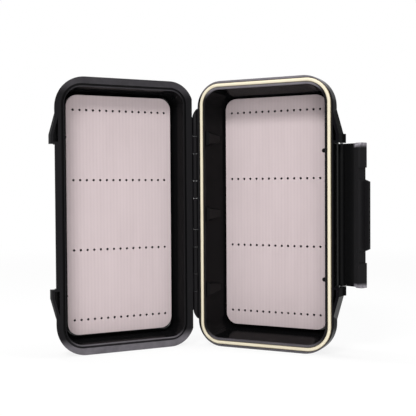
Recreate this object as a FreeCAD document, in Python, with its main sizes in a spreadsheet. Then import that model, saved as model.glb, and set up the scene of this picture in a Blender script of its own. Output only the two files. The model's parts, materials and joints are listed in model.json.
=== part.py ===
import FreeCAD, Part
import math
import os

import Sketcher

# A waterproof fly box standing open on its short end.
# The base tray is square to the frame with its mouth towards -Y, and the lid is
# turned out on the hinge at the base's -X side. +Z runs up along the hinge.
# The origin is the middle of the base flange's lower end face, on the ground.

os.makedirs("parts", exist_ok=True)
doc = FreeCAD.newDocument("fly_box")

# Driving sizes, in millimetres and degrees

SIZES = {
    # The two trays
    "case_long": 195.0,
    "case_wide": 104.0,
    "rim_corner": 22.0,
    "inner_corner": 20.0,
    "hinge_rim_corner": 18.6,
    "hinge_inner_corner": 17.0,
    "lid_hinge_corner": 19.0,
    "lid_hinge_over": 1.2,
    "wall_thick": 2.2,
    "floor_thick": 2.2,
    "draft_lean": 8.5,
    "floor_round": 2.0,
    "back_round": 4.0,
    "base_flange_deep": 8.6,
    "base_rim_wide": 6.0,
    "base_skirt_deep": 13.0,
    "lid_flange_deep": 3.9,
    "lid_flange_lean": 13.0,
    "lid_rim_wide": 7.0,
    "seam_gap": 0.8,
    "lid_open_angle": 127.9,
    # The foam pads and the adhesive sheets that hold them
    "base_foam_level": 25.5,
    "lid_foam_level": 12.8,
    "foam_thick": 5.0,
    "foam_corner": 8.5,
    "base_foam_gap": 1.3,
    "lid_foam_gap": 2.2,
    "base_foam_lift": 1.0,
    "lid_foam_lift": 0.4,
    "base_foam_aside": 0.6,
    "lid_foam_aside": 0.2,
    "tape_thick": 0.3,
    "tape_margin": 1.0,
    "hole_radius": 0.8,
    "hole_pitch": 5.0,
    "hole_row_pitch": 50.0,
    "hole_side_margin": 4.0,
    "hole_end_margin": 8.0,
    # The seal in the base's rim
    "groove_inset": 1.5,
    "groove_wide": 3.1,
    "groove_deep": 3.0,
    "gasket_clear": 0.15,
    "gasket_proud": 0.5,
    "gasket_round": 1.2,
    "inner_rim_high": 0.4,
    "lid_groove_inset": 4.8,
    "lid_groove_wide": 1.5,
    "lid_groove_deep": 1.2,
    # The hinge
    "hinge_reach": 2.15,
    "barrel_radius": 1.8,
    "barrel_half": 78.5,
    "mid_knuckle_half": 11.5,
    "lid_knuckle_long": 12.8,
    "second_knuckle_long": 19.9,
    "knuckle_gap": 0.2,
    "hinge_lip_gap": 0.4,
    "hinge_lip_reach": 1.6,
    "hinge_lip_thick": 1.2,
    "barrel_end_rise": 6.5,
    "hinge_pin_radius": 0.8,
    "hinge_pin_half": 74.0,
    "pin_clear": 0.05,
    "slot_long": 6.0,
    "slot_bite": 0.7,
    "second_slot_place": 36.3,
    "outer_slot_place": 65.2,
    # The guards beside the latch
    "base_guard_reach": 3.9,
    "lid_guard_reach": 2.9,
    "guard_flat": 6.3,
    "guard_rise_share": 0.28,
    "guard_lean": 5.6,
    "guard_root": 6.5,
    "guard_sink": 2.0,
    "base_pocket_reach": 1.7,
    "base_pocket_bite": 0.4,
    "base_pocket_deep": 6.0,
    "lid_pocket_reach": 0.9,
    "lid_pocket_bite": 2.5,
    "lid_pocket_deep": 3.2,
    "pocket_cheek": 1.5,
    # The latch and its pin
    "latch_half": 49.4,
    "latch_side_gap": 0.5,
    "lid_side_gap": 0.8,
    "pivot_out": 3.0,
    "pivot_deep": 10.0,
    "lug_radius": 3.0,
    "latch_pin_radius": 1.0,
    "latch_barrel_radius": 2.4,
    "plate_thick": 2.0,
    "hook_bite": 2.6,
    "hook_gap": 0.3,
    "hook_thick": 4.8,
    "hook_slope": 2.9,
    "hook_nose": 0.9,
    "hook_bevel_long": 3.4,
    "hook_bevel_drop": 2.2,
    "tab_half": 24.5,
    "tab_reach": 3.0,
    "tab_bevel": 1.6,
    "notch_long": 8.0,
    "notch_deep": 1.1,
    "latch_open_angle": 67.0,
    # Small features moulded on the inner walls
    "nub_radius": 1.5,
    "nub_deep": 5.0,
    "nub_drop": 0.8,
    "base_nub_out": 0.9,
    "base_nub_place": 44.7,
    "lid_nub_place": 55.2,
    "boss_face_half": 4.0,
    "boss_flank": 2.6,
    "boss_tail_half": 2.4,
    "boss_tail_flank": 1.0,
    "boss_rise": 3.0,
    "boss_root": 1.0,
    "boss_drop": 1.0,
    "boss_deep": 19.0,
    "boss_step": 56.0,
    # One overrun serves every cut, and one small reach finds edges by height
    "overrun": 2.0,
    "edge_search": 0.001,
    "pin_end_gap": 0.5,
}

sheet = doc.addObject("Spreadsheet::Sheet", "sizes")
working = doc.addObject("Spreadsheet::Sheet", "working")
for line, (alias, value) in enumerate(SIZES.items(), start=1):
    sheet.set(f"A{line}", alias)
    sheet.set(f"B{line}", str(value))
    sheet.setAlias(f"B{line}", alias)
doc.recompute()


def size(alias):
    """The value of one cell of the sheet."""
    return float(sheet.get(alias))


def formula(text):
    """A formula whose words in angle brackets are cells of the sheet."""
    return text.replace("<", "sizes.").replace(">", "")


def value_of(text):
    """What a formula comes to, worked out in a spare sheet."""
    working.set("A1", f"={formula(text)}")
    working.recompute()
    return float(working.get("A1"))


# Sizes that follow from the driving ones

BASE_FLOOR = "(<base_foam_level> + <foam_thick> + <tape_thick>)"
LID_FLOOR = "(<lid_foam_level> + <foam_thick> + <tape_thick>)"
HINGE_X = "(<case_wide> / 2 + <hinge_reach>)"
HINGE_Z = "(<seam_gap> / 2)"
PIVOT_X = "(<case_wide> / 2 + <pivot_out>)"
BASE_BAY = "(<latch_half> + <latch_side_gap>)"
LID_BAY = "(<latch_half> + <lid_side_gap>)"
HOOK_FACE = "(<pivot_deep> + <seam_gap> + <lid_flange_deep> + <hook_gap>)"
HOOK_END = f"({HOOK_FACE} + <hook_thick>)"
FIRST_LID_KNUCKLE = "(<mid_knuckle_half> + <knuckle_gap>)"
SECOND_LID_KNUCKLE = f"({FIRST_LID_KNUCKLE} + <lid_knuckle_long> + <second_knuckle_long> + 2 * <knuckle_gap>)"


def bind(thing, prop, text):
    """Ties a property of an object to the sheet."""
    thing.setExpression(prop, formula(text))


def origin_plane(body, role):
    """One of the body's own origin planes."""
    return next(item for item in body.Origin.OriginFeatures if item.Role == role)


def new_sketch(body, name, role="XY_Plane", offset=None):
    """A sketch on an origin plane of its body, moved along that plane's normal."""
    sketch = body.newObject("Sketcher::SketchObject", name)
    sketch.AttachmentSupport = (origin_plane(body, role), [""])
    sketch.MapMode = "FlatFace"
    if offset is not None:
        bind(sketch, "AttachmentOffset.Base.z", offset)
    return sketch


def dimension(sketch, kind, ends, label, text):
    """A named dimension of a sketch, tied to the sheet."""
    index = sketch.addConstraint(Sketcher.Constraint(kind, *ends, value_of(text)))
    sketch.renameConstraint(index, label)
    bind(sketch, f"Constraints.{label}", text)


def draw_round_frame(sketch, label, wide, tall, right_corner, left_corner, beyond="0"):
    """A rectangle with round corners, centred on the sketch's origin but for what its right side adds."""
    first = sketch.GeometryCount
    half_x = value_of(wide) / 2
    half_y = value_of(tall) / 2
    extra = value_of(beyond)
    axis = FreeCAD.Vector(0, 0, 1)
    corners = [
        (1, -1, value_of(right_corner)), (1, 1, value_of(right_corner)),
        (-1, 1, value_of(left_corner)), (-1, -1, value_of(left_corner)),
    ]
    arcs = []
    for turn, (way_x, way_y, radius) in enumerate(corners):
        reach = half_x + extra if way_x > 0 else half_x
        centre = FreeCAD.Vector(way_x * (reach - radius), way_y * (half_y - radius), 0)
        circle = Part.Circle(centre, axis, radius)
        start = (turn - 1) * math.pi / 2
        arcs.append(Part.ArcOfCircle(circle, start, start + math.pi / 2))
    pieces = []
    for turn, arc in enumerate(arcs):
        pieces.append(Part.LineSegment(arcs[turn - 1].EndPoint, arc.StartPoint))
        pieces.append(arc)
    sketch.addGeometry(pieces, False)
    rule = Sketcher.Constraint
    count = len(pieces)
    for step in range(count):
        sketch.addConstraint(rule("Tangent", first + step, 2, first + (step + 1) % count, 1))
    for step in (0, 4, 6):
        sketch.addConstraint(rule("Vertical" if step == 6 else "Horizontal", first + step))
    sketch.addConstraint(rule("Equal", first + 1, first + 3))
    sketch.addConstraint(rule("Equal", first + 5, first + 7))
    sketch.addConstraint(rule("Symmetric", first + 2, 1, first + 2, 2, -1))
    dimension(sketch, "DistanceX", (-1, 1, first + 2, 1), f"{label}_half", f"({wide}) / 2 + {beyond}")
    dimension(sketch, "DistanceX", (first + 6, 1, first + 2, 1), f"{label}_wide", f"{wide} + {beyond}")
    dimension(sketch, "DistanceY", (first, 1, first + 4, 1), f"{label}_tall", tall)
    dimension(sketch, "Radius", (first + 1,), f"{label}_right_corner", right_corner)
    dimension(sketch, "Radius", (first + 5,), f"{label}_left_corner", left_corner)


def draw_inset_frame(sketch, label, inset, side, family="inner"):
    """The case's outline drawn in by a distance, its corners staying concentric."""
    latch_corner = "<rim_corner>" if family == "rim" else "<inner_corner>"
    hinge_corner = "<hinge_rim_corner>" if family == "rim" else "<hinge_inner_corner>"
    right, left = (latch_corner, hinge_corner) if side > 0 else (hinge_corner, latch_corner)
    draw_round_frame(
        sketch, label,
        f"<case_wide> - 2 * ({inset})",
        f"<case_long> - 2 * ({inset})",
        f"{right} - ({inset})",
        f"{left} - ({inset})",
    )


def draw_outline(sketch, label, points):
    """A closed outline of straight sides through points given as formulas."""
    first = sketch.GeometryCount
    count = len(points)
    corners = [FreeCAD.Vector(value_of(x), value_of(y), 0) for x, y in points]
    sides = [Part.LineSegment(corners[step], corners[(step + 1) % count]) for step in range(count)]
    sketch.addGeometry(sides, False)
    rule = Sketcher.Constraint
    for step in range(count):
        sketch.addConstraint(rule("Coincident", first + step, 2, first + (step + 1) % count, 1))
    for step, (x, y) in enumerate(points):
        dimension(sketch, "DistanceX", (-1, 1, first + step, 1), f"{label}_x{step}", x)
        dimension(sketch, "DistanceY", (-1, 1, first + step, 1), f"{label}_y{step}", y)


def draw_box(sketch, label, low_x, high_x, low_y, high_y):
    """A rectangle between four formulas."""
    draw_outline(sketch, label, [(low_x, low_y), (high_x, low_y), (high_x, high_y), (low_x, high_y)])


def draw_circle(sketch, label, x, y, radius):
    """A circle whose centre and radius are formulas."""
    centre = FreeCAD.Vector(value_of(x), value_of(y), 0)
    circle = Part.Circle(centre, FreeCAD.Vector(0, 0, 1), value_of(radius))
    index = sketch.addGeometry(circle, False)
    dimension(sketch, "DistanceX", (-1, 1, index, 3), f"{label}_x", x)
    dimension(sketch, "DistanceY", (-1, 1, index, 3), f"{label}_y", y)
    dimension(sketch, "Radius", (index,), f"{label}_radius", radius)


def volume_of(feature):
    """The volume of a feature, or nothing where it failed."""
    return 0.0 if feature.Shape.isNull() else feature.Shape.Volume


def add_feature(body, kind, name, sketch, length, reverse=False, both=False, lean=None):
    """A pad or a pocket of a sketch, which has to change the body's volume."""
    before = volume_of(body)
    feature = body.newObject(f"PartDesign::{kind}", name)
    feature.Profile = sketch
    feature.Reversed = reverse
    if both:
        feature.SideType = "Symmetric"
    bind(feature, "Length", length)
    if lean is not None:
        bind(feature, "TaperAngle", lean)
    doc.recompute()
    after = volume_of(feature)
    grown = after > before if kind == "Pad" else after < before
    if not grown:
        raise RuntimeError(f"{body.Label}: {name} changed nothing")
    return feature


def mirror_feature(body, name, features):
    """The same features on the other half of the case's length."""
    mirrored = body.newObject("PartDesign::Mirrored", name)
    mirrored.Originals = features
    mirrored.MirrorPlane = (origin_plane(body, "XZ_Plane"), [""])
    body.Tip = mirrored
    doc.recompute()
    return mirrored


def round_edges(body, feature, name, height, radius):
    """Rounds the edges of a feature that lie flat at one height."""
    picked = []
    near = size("edge_search")
    for number, edge in enumerate(feature.Shape.Edges, start=1):
        box = edge.BoundBox
        if abs(box.ZMin - height) < near and abs(box.ZMax - height) < near:
            picked.append(f"Edge{number}")
    fillet = body.newObject("PartDesign::Fillet", name)
    fillet.Base = (feature, picked)
    bind(fillet, "Radius", radius)
    doc.recompute()
    return fillet


def new_body(label):
    """An empty body with its own label."""
    body = doc.addObject("PartDesign::Body", label)
    body.Label = label
    return body


# One tray, seen into its mouth: x across, y along, z out of the mouth from the rim plane.
# side is the way to the latch along x, 1 in the base and -1 in the lid.

def tray(label, side, rim_wide, flange_deep, floor_level, flange_lean=None):
    """The flange and the drafted tub of one half, still solid."""
    body = new_body(label)
    flange_sketch = new_sketch(body, f"{label}_flange_outline")
    if side > 0:
        draw_inset_frame(flange_sketch, "flange", "0", side, family="rim")
    else:
        draw_round_frame(
            flange_sketch, "flange", "<case_wide>", "<case_long>", "<lid_hinge_corner>",
            "<rim_corner>", beyond="<lid_hinge_over>")
    add_feature(
        body, "Pad", f"{label}_flange", flange_sketch, flange_deep, reverse=True, lean=flange_lean)
    if side < 0:
        trim = new_sketch(body, f"{label}_trim_outline")
        draw_box(
            trim, "trim", "<case_wide> / 2", "<case_wide> / 2 + <lid_hinge_over> + <overrun>",
            "-(<case_long> / 2 + <overrun>)", "<case_long> / 2 + <overrun>")
        add_feature(body, "Pocket", f"{label}_trim", trim, flange_deep)
    tub_sketch = new_sketch(body, f"{label}_tub_outline")
    draw_inset_frame(tub_sketch, "tub", f"{rim_wide} - <wall_thick>", side)
    total = f"{floor_level} + <floor_thick>"
    tub = add_feature(
        body, "Pad", f"{label}_tub", tub_sketch, total, reverse=True, lean="-<draft_lean>")
    return body, tub


def hollow(body, label, side, rim_wide, floor_level):
    """The inside of a tray, down to its floor."""
    inside_sketch = new_sketch(body, f"{label}_inside_outline")
    draw_inset_frame(inside_sketch, "inside", rim_wide, side)
    inside = add_feature(
        body, "Pocket", f"{label}_inside", inside_sketch, floor_level, lean="-<draft_lean>")
    return inside


def ring_cut(body, label, side, inset, wide, deep):
    """A groove that runs round the rim."""
    ring = new_sketch(body, f"{label}_outline")
    draw_inset_frame(ring, "outer", inset, side)
    draw_inset_frame(ring, "inner", f"{inset} + {wide}", side)
    return add_feature(body, "Pocket", label, ring, deep)


def guards(body, half, side, bay, flange_deep):
    """The two ramped guards that stand beside the latch, leaning out and hollow from the front."""
    edge = f"({side} * <case_wide> / 2)"
    reach = f"<{half}_guard_reach>"
    root = f"{edge} - {side} * <guard_root>"
    crest = f"{edge} + {side} * {reach}"
    bend = f"{bay} + <guard_flat>"
    foot = f"{bend} + ({reach} + <guard_sink>) / <guard_rise_share>"
    outline = new_sketch(body, f"{half}_guard_outline")
    draw_outline(outline, "guard", [
        (root, bay),
        (crest, bay),
        (crest, bend),
        (f"{edge} - {side} * <guard_sink>", foot),
        (root, foot),
    ])
    guard = add_feature(
        body, "Pad", f"{half}_guard", outline, flange_deep, reverse=True, lean="<guard_lean>")
    mirror_feature(body, f"{half}_guard_pair", [guard])
    bay_sketch = new_sketch(body, f"{half}_latch_bay_outline")
    draw_box(bay_sketch, "bay", edge, f"{crest} + {side} * <overrun>", f"-{bay}", bay)
    add_feature(body, "Pocket", f"{half}_latch_bay", bay_sketch, flange_deep)
    hole = new_sketch(body, f"{half}_guard_pocket_outline")
    reach = f"<{half}_pocket_reach>"
    inner = f"{edge} - {side} * <{half}_pocket_bite>"
    outer = f"{edge} + {side} * {reach}"
    draw_outline(hole, "pocket", [
        (inner, f"{bay} + <pocket_cheek>"),
        (outer, f"{bay} + <pocket_cheek>"),
        (outer, bend),
        (inner, f"{bend} + ({reach} + <{half}_pocket_bite>) / <guard_rise_share>"),
    ])
    pocket = add_feature(body, "Pocket", f"{half}_guard_pocket", hole, f"<{half}_pocket_deep>")
    mirror_feature(body, f"{half}_guard_pocket_pair", [pocket])


def barrel(body, label, side, half):
    """The hinge barrel and the web that ties it to the flange, along the case's edge."""
    hinge_x = f"(-{side} * {HINGE_X})"
    edge = f"(-{side} * <case_wide> / 2)"
    rod = new_sketch(body, f"{label}_rod_outline", "XZ_Plane")
    draw_circle(rod, "rod", hinge_x, HINGE_Z, "<barrel_radius>")
    add_feature(body, "Pad", f"{label}_rod", rod, f"2 * {half}", both=True)
    web = new_sketch(body, f"{label}_web_outline", "XZ_Plane")
    draw_box(
        web, "web", hinge_x, f"{edge} + {side} * <wall_thick>",
        f"{HINGE_Z} - <barrel_radius> - <hinge_lip_gap>", "0")
    add_feature(body, "Pad", f"{label}_web", web, f"2 * {half}", both=True)


def hinge_lip(body, label, side, half):
    """A low ledge along the flange, behind the barrel and clear of the other half's knuckles."""
    edge = f"(-{side} * <case_wide> / 2)"
    top = f"({HINGE_Z} - <barrel_radius> - <hinge_lip_gap>)"
    ledge = new_sketch(body, f"{label}_outline", "XZ_Plane")
    draw_box(
        ledge, "ledge", f"{edge} - {side} * <hinge_lip_reach>",
        f"{edge} + {side} * (<groove_inset> - <hinge_lip_gap>)", f"{top} - <hinge_lip_thick>", top)
    add_feature(body, "Pad", label, ledge, f"2 * {half}", both=True)


def knuckle_gaps(body, label, side, spans):
    """Cuts the spans of the barrel that belong to the other half, both ways along it."""
    gaps = new_sketch(body, f"{label}_outline")
    edge = f"(-{side} * <case_wide> / 2)"
    far = f"(-{side} * ({HINGE_X} + <barrel_radius> + <overrun>))"
    for number, (low, high) in enumerate(spans):
        draw_box(gaps, f"up{number}", far, edge, low, high)
        if low.startswith("-"):
            continue
        draw_box(gaps, f"down{number}", far, edge, f"-({high})", f"-({low})")
    add_feature(body, "Pocket", label, gaps, "4 * (<barrel_radius> + <overrun>)", both=True)


def pin_bore(body, label, x, z, radius, half):
    """A bore along the case for a pin."""
    bore = new_sketch(body, f"{label}_outline", "XZ_Plane")
    draw_circle(bore, "bore", x, z, radius)
    add_feature(body, "Pocket", label, bore, f"2 * {half}", both=True)


def nubs(body, label, side, wall_inset, place):
    """Two round nubs on the inner wall at the latch side."""
    outline = new_sketch(body, f"{label}_outline", offset="-<nub_drop>")
    draw_circle(outline, "nub", f"{side} * (<case_wide> / 2 - {wall_inset})", place, "<nub_radius>")
    nub = add_feature(body, "Pad", label, outline, "<nub_deep>", reverse=True)
    mirror_feature(body, f"{label}_pair", [nub])


def wall_bosses(body, places):
    """Bevelled bosses on the base's hinge-side wall, running out where the draft meets them."""
    rim_wall = "(-<case_wide> / 2 + <base_rim_wide>)"
    crest = f"({rim_wall} + <boss_rise>)"
    levels = (
        ("<boss_drop>", "<boss_face_half>", "<boss_flank>"),
        ("(<boss_drop> + <boss_deep>)", "<boss_tail_half>", "<boss_tail_flank>"),
    )
    for number, place in enumerate(places):
        sections = []
        for step, (depth, half, flank) in enumerate(levels):
            root = f"({rim_wall} - <boss_root> + {depth} * tan(<draft_lean> * 1 deg))"
            section = new_sketch(body, f"boss_{number}_section_{step}", offset=f"-{depth}")
            draw_outline(section, "boss", [
                (root, f"{place} - {half} - {flank}"),
                (crest, f"{place} - {half}"),
                (crest, f"{place} + {half}"),
                (root, f"{place} + {half} + {flank}"),
            ])
            sections.append(section)
        loft = body.newObject("PartDesign::AdditiveLoft", f"boss_{number}")
        loft.Profile = sections[0]
        loft.Sections = [sections[1]]
        loft.Ruled = True
        doc.recompute()


# The base: seal groove, latch lugs and the outer knuckles of the hinge

base, base_tub = tray("base_shell", 1, "<base_rim_wide>", "<base_flange_deep>", BASE_FLOOR)
round_edges(base, base_tub, "base_back_rounding", -(
    size("base_foam_level") + size("foam_thick") + size("tape_thick") + size("floor_thick")), "<back_round>")
guards(base, "base", 1, BASE_BAY, "<base_flange_deep>")
skirt_sketch = new_sketch(base, "skirt_outline")
draw_box(
    skirt_sketch, "skirt", "<case_wide> / 2 - <wall_thick>", "<case_wide> / 2",
    f"-({BASE_BAY} + <guard_flat>)", f"{BASE_BAY} + <guard_flat>")
add_feature(base, "Pad", "skirt", skirt_sketch, "<base_skirt_deep>", reverse=True)
cheek_sketch = new_sketch(base, "lug_cheek_outline", "XZ_Plane", offset=f"-{BASE_BAY}")
draw_box(
    cheek_sketch, "cheek", "<case_wide> / 2 - <guard_root>", PIVOT_X,
    "-(<pivot_deep> + <lug_radius>)", "-(<pivot_deep> - <lug_radius>)")
cheek = add_feature(base, "Pad", "lug_cheek", cheek_sketch, "<guard_flat>", reverse=True)
mirror_feature(base, "lug_cheek_pair", [cheek])
lug_sketch = new_sketch(base, "lug_outline", "XZ_Plane", offset=f"-{BASE_BAY}")
draw_circle(lug_sketch, "lug", PIVOT_X, "-<pivot_deep>", "<lug_radius>")
lug = add_feature(base, "Pad", "latch_lug", lug_sketch, "<guard_flat>", reverse=True)
mirror_feature(base, "latch_lug_pair", [lug])
barrel(base, "base_barrel", 1, "<barrel_half>")
base_inside = hollow(base, "base", 1, "<base_rim_wide>", BASE_FLOOR)
round_edges(base, base_inside, "base_floor_rounding", -(
    size("base_foam_level") + size("foam_thick") + size("tape_thick")), "<floor_round>")
inner_rim = new_sketch(base, "inner_rim_outline")
draw_inset_frame(inner_rim, "outer", "<groove_inset> + <groove_wide>", 1)
draw_inset_frame(inner_rim, "inner", "<base_rim_wide>", 1)
add_feature(base, "Pad", "inner_rim", inner_rim, "<inner_rim_high>")
nubs(base, "base_nub", 1, "(<base_rim_wide> + <base_nub_out>)", "<base_nub_place>")
ring_cut(base, "seal_groove", 1, "<groove_inset>", "<groove_wide>", "<groove_deep>")
knuckle_gaps(base, "base_knuckle_gaps", 1, [
    (f"{FIRST_LID_KNUCKLE} - <knuckle_gap>", f"{FIRST_LID_KNUCKLE} + <lid_knuckle_long> + <knuckle_gap>"),
    (f"{SECOND_LID_KNUCKLE} - <knuckle_gap>", f"{SECOND_LID_KNUCKLE} + <lid_knuckle_long> + <knuckle_gap>"),
])
hinge_lip(base, "base_hinge_lip", 1, "<barrel_half>")
slant_sketch = new_sketch(base, "barrel_end_outline")
slant_run = "(<hinge_reach> + <barrel_radius> + <overrun>)"
draw_outline(slant_sketch, "slant", [
    ("-<case_wide> / 2", "<barrel_half>"),
    (f"-<case_wide> / 2 - {slant_run}", f"<barrel_half> - <barrel_end_rise> * {slant_run} / (<hinge_reach> + <barrel_radius>)"),
    (f"-<case_wide> / 2 - {slant_run}", "<barrel_half> + <overrun>"),
    ("-<case_wide> / 2", "<barrel_half> + <overrun>"),
])
slant = add_feature(
    base, "Pocket", "barrel_end", slant_sketch, "4 * (<barrel_radius> + <overrun>)", both=True)
mirror_feature(base, "barrel_end_pair", [slant])
slot_sketch = new_sketch(base, "barrel_slot_outline")
slot_far = f"-({HINGE_X} + <barrel_radius> + <overrun>)"
slot_near = f"-({HINGE_X} + <barrel_radius> - <slot_bite>)"
for slot_name, slot_place in (
        ("middle", "0"), ("upper", "<second_slot_place>"), ("lower", "-<second_slot_place>"),
        ("top", "<outer_slot_place>"), ("bottom", "-<outer_slot_place>")):
    draw_box(
        slot_sketch, slot_name, slot_far, slot_near,
        f"{slot_place} - <slot_long> / 2", f"{slot_place} + <slot_long> / 2")
add_feature(base, "Pocket", "barrel_slots", slot_sketch, "4 * (<barrel_radius> + <overrun>)", both=True)
pin_bore(
    base, "hinge_bore", f"-{HINGE_X}", HINGE_Z, "<hinge_pin_radius> + <pin_clear>",
    "(<barrel_half> + <overrun>)")
pin_bore(
    base, "latch_bore", PIVOT_X, "-<pivot_deep>", "<latch_pin_radius> + <pin_clear>",
    f"({BASE_BAY} + <guard_flat> + <pin_end_gap>)")
wall_bosses(base, ("0", "<boss_step>", "-<boss_step>"))

# The lid: flat sealing face, the two pairs of inner knuckles and its own guards

lid, lid_tub = tray(
    "lid_shell", -1, "<lid_rim_wide>", "<lid_flange_deep>", LID_FLOOR, flange_lean="-<lid_flange_lean>")
round_edges(lid, lid_tub, "lid_back_rounding", -(
    size("lid_foam_level") + size("foam_thick") + size("tape_thick") + size("floor_thick")), "<back_round>")
guards(lid, "lid", -1, LID_BAY, "<lid_flange_deep>")
barrel(lid, "lid_barrel", -1, f"({SECOND_LID_KNUCKLE} + <lid_knuckle_long>)")
lid_inside = hollow(lid, "lid", -1, "<lid_rim_wide>", LID_FLOOR)
round_edges(lid, lid_inside, "lid_floor_rounding", -(
    size("lid_foam_level") + size("foam_thick") + size("tape_thick")), "<floor_round>")
nubs(lid, "lid_nub", -1, "<lid_rim_wide>", "<lid_nub_place>")
ring_cut(lid, "lid_rim_groove", -1, "<lid_groove_inset>", "<lid_groove_wide>", "<lid_groove_deep>")
knuckle_gaps(lid, "lid_knuckle_gaps", -1, [
    (f"-{FIRST_LID_KNUCKLE}", FIRST_LID_KNUCKLE),
    (f"{FIRST_LID_KNUCKLE} + <lid_knuckle_long>", SECOND_LID_KNUCKLE),
])
hinge_lip(lid, "lid_hinge_lip", -1, "(<barrel_half> - <barrel_end_rise>)")
pin_bore(
    lid, "lid_hinge_bore", HINGE_X, HINGE_Z, "<hinge_pin_radius> + <pin_clear>",
    "(<barrel_half> + <overrun>)")

# The seal: one soft ring with a rounded crown, lying on the floor of its groove

gasket = new_body("gasket")
gasket_sketch = new_sketch(gasket, "gasket_outline", offset="-<groove_deep>")
draw_inset_frame(gasket_sketch, "outer", "<groove_inset> + <gasket_clear>", 1)
draw_inset_frame(gasket_sketch, "inner", "<groove_inset> + <groove_wide> - <gasket_clear>", 1)
gasket_ring = add_feature(gasket, "Pad", "gasket_ring", gasket_sketch, "<groove_deep> + <gasket_proud>")
round_edges(gasket, gasket_ring, "gasket_crown", size("gasket_proud"), "<gasket_round>")


# The foam pads, each on its adhesive sheet

def pad_size(along, rim_wide, floor_level, gap):
    """The width or length of a pad that lies on its tray's floor with a gap all round."""
    return f"(<case_{along}> - 2 * ({rim_wide} + {floor_level} * tan(<draft_lean> * 1 deg) + {gap}))"


def foam(label, rim_wide, floor_level, level, gap):
    """A foam pad with its rows of punched holes."""
    body = new_body(label)
    outline = new_sketch(body, f"{label}_outline", offset=f"-{level} - <foam_thick>")
    wide = pad_size("wide", rim_wide, floor_level, gap)
    tall = pad_size("long", rim_wide, floor_level, gap)
    draw_round_frame(outline, "pad", wide, tall, "<foam_corner>", "<foam_corner>")
    add_feature(body, "Pad", f"{label}_block", outline, "<foam_thick>")
    across = f"(floor(({wide} - 2 * <hole_side_margin>) / <hole_pitch>) + 1)"
    rows = f"(floor(({tall} - 2 * <hole_end_margin>) / <hole_row_pitch>) + 1)"
    hole = new_sketch(body, f"{label}_hole_outline", offset=f"-{level} + <overrun>")
    draw_circle(
        hole, "hole", f"-({across} - 1) * <hole_pitch> / 2",
        f"-({rows} - 1) * <hole_row_pitch> / 2", "<hole_radius>")
    punch = add_feature(body, "Pocket", f"{label}_hole", hole, "<foam_thick> + 2 * <overrun>")
    holes = body.newObject("PartDesign::LinearPattern", f"{label}_holes")
    holes.Originals = [punch]
    holes.Direction = (hole, ["H_Axis"])
    holes.Mode = "Spacing"
    bind(holes, "Offset", "<hole_pitch>")
    bind(holes, "Occurrences", across)
    holes.Direction2 = (hole, ["V_Axis"])
    holes.Mode2 = "Spacing"
    bind(holes, "Offset2", "<hole_row_pitch>")
    bind(holes, "Occurrences2", rows)
    body.Tip = holes
    doc.recompute()
    return body


def tape(label, rim_wide, floor_level, gap):
    """The adhesive sheet under a pad, a little smaller than it."""
    body = new_body(label)
    outline = new_sketch(body, f"{label}_outline", offset=f"-{floor_level}")
    wide = pad_size("wide", rim_wide, floor_level, gap)
    tall = pad_size("long", rim_wide, floor_level, gap)
    draw_round_frame(
        outline, "sheet", f"{wide} - 2 * <tape_margin>", f"{tall} - 2 * <tape_margin>",
        "<foam_corner> - <tape_margin>", "<foam_corner> - <tape_margin>")
    add_feature(body, "Pad", f"{label}_sheet", outline, "<tape_thick>")
    return body


base_foam = foam("base_foam", "<base_rim_wide>", BASE_FLOOR, "<base_foam_level>", "<base_foam_gap>")
base_tape = tape("base_foam_tape", "<base_rim_wide>", BASE_FLOOR, "<base_foam_gap>")
lid_foam = foam("lid_foam", "<lid_rim_wide>", LID_FLOOR, "<lid_foam_level>", "<lid_foam_gap>")
lid_tape = tape("lid_foam_tape", "<lid_rim_wide>", LID_FLOOR, "<lid_foam_gap>")

# The hinge pin and the latch pin

hinge_pin = new_body("hinge_pin")
hinge_pin_sketch = new_sketch(hinge_pin, "hinge_pin_outline", "XZ_Plane")
draw_circle(hinge_pin_sketch, "pin", "0", "0", "<hinge_pin_radius>")
add_feature(hinge_pin, "Pad", "hinge_pin_rod", hinge_pin_sketch, "2 * <hinge_pin_half>", both=True)

latch_pin = new_body("latch_pin")
latch_pin_sketch = new_sketch(latch_pin, "latch_pin_outline", "XZ_Plane")
draw_circle(latch_pin_sketch, "pin", "0", "0", "<latch_pin_radius>")
add_feature(
    latch_pin, "Pad", "latch_pin_rod", latch_pin_sketch,
    f"2 * ({BASE_BAY} + <guard_flat>)", both=True)

# The latch: x from its pin to its tip, y along the pin, z towards the case when shut

latch = new_body("latch")
latch_back = "-<latch_barrel_radius>"
latch_face = "(-<latch_barrel_radius> + <plate_thick>)"
hook_tip = "(<pivot_out> + <hook_bite>)"
plate_sketch = new_sketch(latch, "latch_plate_outline", "XZ_Plane")
draw_outline(plate_sketch, "plate", [
    ("0", latch_back),
    (HOOK_END, latch_back),
    (HOOK_END, f"{hook_tip} - <hook_nose>"),
    (f"{HOOK_END} - <hook_nose>", hook_tip),
    (HOOK_FACE, hook_tip),
    (HOOK_FACE, "(<pivot_out> - <hook_gap>)"),
    (f"{HOOK_FACE} - <hook_slope>", latch_face),
    ("0", latch_face),
])
add_feature(latch, "Pad", "latch_plate", plate_sketch, "2 * <latch_half>", both=True)
latch_rod = new_sketch(latch, "latch_rod_outline", "XZ_Plane")
draw_circle(latch_rod, "rod", "0", "0", "<latch_barrel_radius>")
add_feature(latch, "Pad", "latch_rod", latch_rod, "2 * <latch_half>", both=True)
tab_sketch = new_sketch(latch, "latch_tab_outline", "XZ_Plane")
draw_box(tab_sketch, "tab", HOOK_FACE, f"{HOOK_END} + <tab_reach>", latch_back, latch_face)
add_feature(latch, "Pad", "latch_tab", tab_sketch, "2 * <tab_half>", both=True)
notch_sketch = new_sketch(latch, "latch_notch_outline")
notch_far = f"({HOOK_END} + <tab_reach> + <overrun>)"
notch_slope = "(<tab_bevel> * (1 + <overrun> / (<tab_reach> + <notch_deep>)))"
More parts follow.
